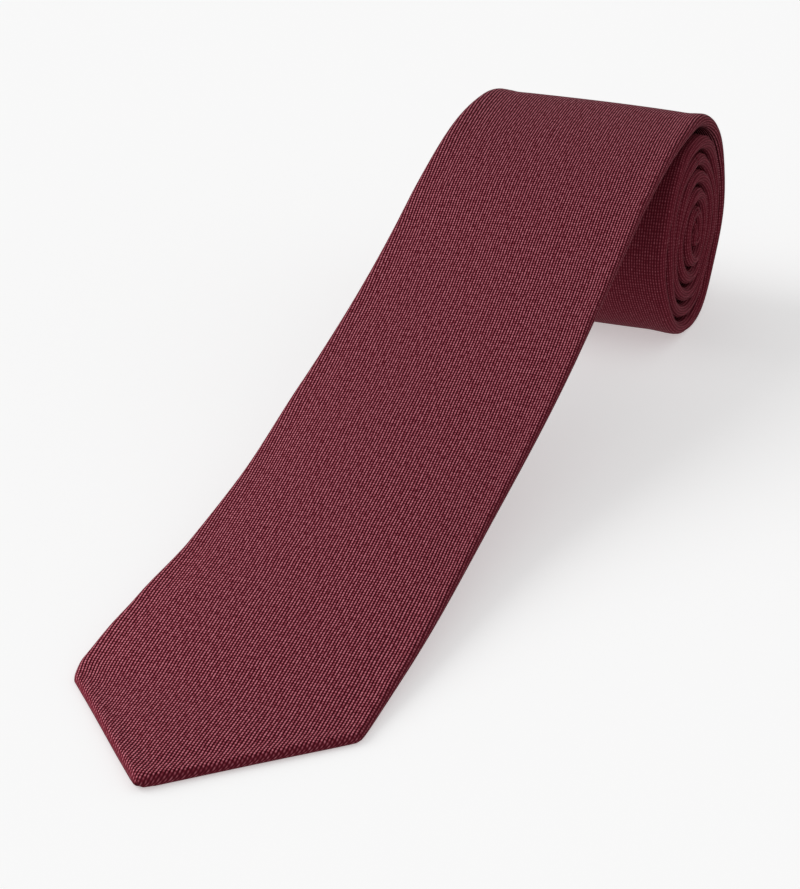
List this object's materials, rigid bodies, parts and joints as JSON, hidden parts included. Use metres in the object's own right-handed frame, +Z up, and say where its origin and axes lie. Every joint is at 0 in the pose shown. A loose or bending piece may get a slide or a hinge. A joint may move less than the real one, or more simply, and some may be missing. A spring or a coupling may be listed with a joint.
{
  "type": "necktie",
  "caption": "Pointed necktie, rolled up with its wide blade lying out in front; lined tips, wool interlining, back seam, keeper loop and two blank labels.",
  "frame": {"origin": "middle of the footprint on the surface that the tie lies on", "axes": "+Z up, +Y from the tip of the wide blade towards the roll, +X across the blade to the flush side of the roll"},
  "size_m": [0.08, 0.3654, 0.0732],
  "materials": {
    "outer_cloth": "burgundy twill of two yarn colours, soft silk sheen",
    "interlining_wool": "brushed undyed wool",
    "tipping_lining": "smooth satin lining",
    "thread": "matt sewing thread",
    "label_satin": "blank woven satin"
  },
  "bodies": {
    "root": {"front_blade_shell": "outer_cloth", "neck_gusset_shell": "outer_cloth", "tail_blade_shell": "outer_cloth", "front_interlining": "interlining_wool", "tail_interlining": "interlining_wool", "front_tipping": "tipping_lining", "tail_tipping": "tipping_lining", "keeper_loop": "outer_cloth", "maker_label": "label_satin", "care_label": "label_satin", "front_bar_tack": "thread", "tail_bar_tack": "thread", "slip_stitch_thread": "thread", "front_seam_thread": "thread", "tail_seam_thread": "thread", "interlining_join_stitch": "thread", "keeper_stitches": "thread", "label_stitches": "thread", "front_hem_stitches": "thread", "tail_hem_stitches": "thread"}
  },
  "joints": []
}
